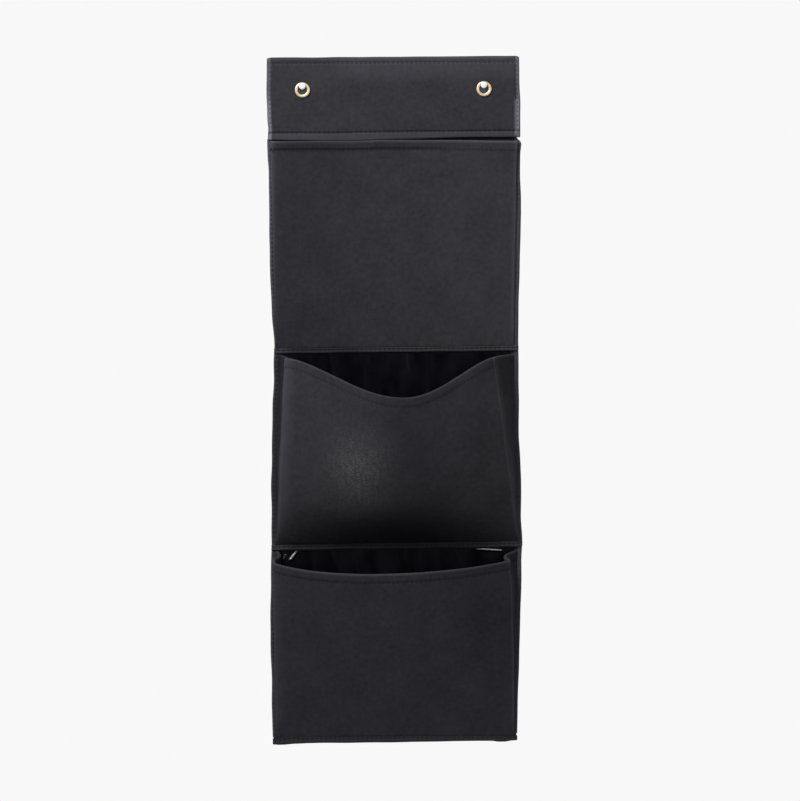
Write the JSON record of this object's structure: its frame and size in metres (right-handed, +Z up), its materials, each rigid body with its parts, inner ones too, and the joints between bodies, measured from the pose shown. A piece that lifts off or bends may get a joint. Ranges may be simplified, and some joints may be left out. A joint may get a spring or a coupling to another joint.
{
  "type": "vertical wall planter",
  "caption": "Hanging cloth wall planter: a stiffened header on two brass eyelets and a back panel with gusseted, film-lined pockets one above another.",
  "frame": {"origin": "on the wall plane, at the rear face of the header, midway between the two eyelets and level with their centres", "axes": "+X to the viewer's right along the wall, +Y into the wall, +Z up; the pockets open towards +Z and the front faces -Y"},
  "size_m": [0.302, 0.1181, 0.8206],
  "materials": {
    "header_cloth": "matte",
    "panel_cloth": "matte",
    "pocket_cloth": "matte",
    "binding_tape": "matte",
    "lining_film": "gloss",
    "stiff_board": "satin",
    "eyelet_brass": "polished",
    "nail_paint": "satin"
  },
  "bodies": {
    "header": {"header_sleeve": "header_cloth", "header_board": "stiff_board", "eyelet_left": "eyelet_brass", "eyelet_right": "eyelet_brass", "eyelet_washer_left": "eyelet_brass", "eyelet_washer_right": "eyelet_brass", "wall_nail_left": "nail_paint", "wall_nail_right": "nail_paint"},
    "panel": {"back_panel": "panel_cloth", "edge_binding_left": "binding_tape", "edge_binding_right": "binding_tape", "seam_strip_top": "binding_tape", "seam_strip_middle": "binding_tape", "foot_hem": "binding_tape", "gusset_top_left": "panel_cloth", "gusset_top_right": "panel_cloth", "gusset_middle_left": "panel_cloth", "gusset_middle_right": "panel_cloth", "gusset_bottom_left": "panel_cloth", "gusset_bottom_right": "panel_cloth", "lining_back_top": "lining_film", "lining_back_middle": "lining_film", "lining_back_bottom": "lining_film"},
    "top_pocket": {"pocket_front_top": "pocket_cloth", "lining_front_top": "lining_film"},
    "middle_pocket": {"pocket_front_middle": "pocket_cloth", "lining_front_middle": "lining_film"},
    "bottom_pocket": {"pocket_front_bottom": "pocket_cloth", "lining_front_bottom": "lining_film"}
  },
  "joints": [
    {"name": "panel_swing", "type": "hinge", "parent": "header", "child": "panel", "pos_m": [0, -0.0046, -0.05775], "axis": [-1, 0, 0], "range_deg": [0, 45]},
    {"name": "top_mouth", "type": "hinge", "parent": "panel", "child": "top_pocket", "pos_m": [0, -0.006, -0.3078], "axis": [1, 0, 0], "range_deg": [0, 20], "deforming": ["gusset_top_left", "gusset_top_right"]},
    {"name": "middle_mouth", "type": "hinge", "parent": "panel", "child": "middle_pocket", "pos_m": [0, -0.006, -0.5448], "axis": [1, 0, 0], "range_deg": [-8, 8], "deforming": ["gusset_middle_left", "gusset_middle_right"]},
    {"name": "bottom_mouth", "type": "hinge", "parent": "panel", "child": "bottom_pocket", "pos_m": [0, -0.006, -0.774], "axis": [1, 0, 0], "range_deg": [-6, 15], "deforming": ["gusset_bottom_left", "gusset_bottom_right"]}
  ]
}
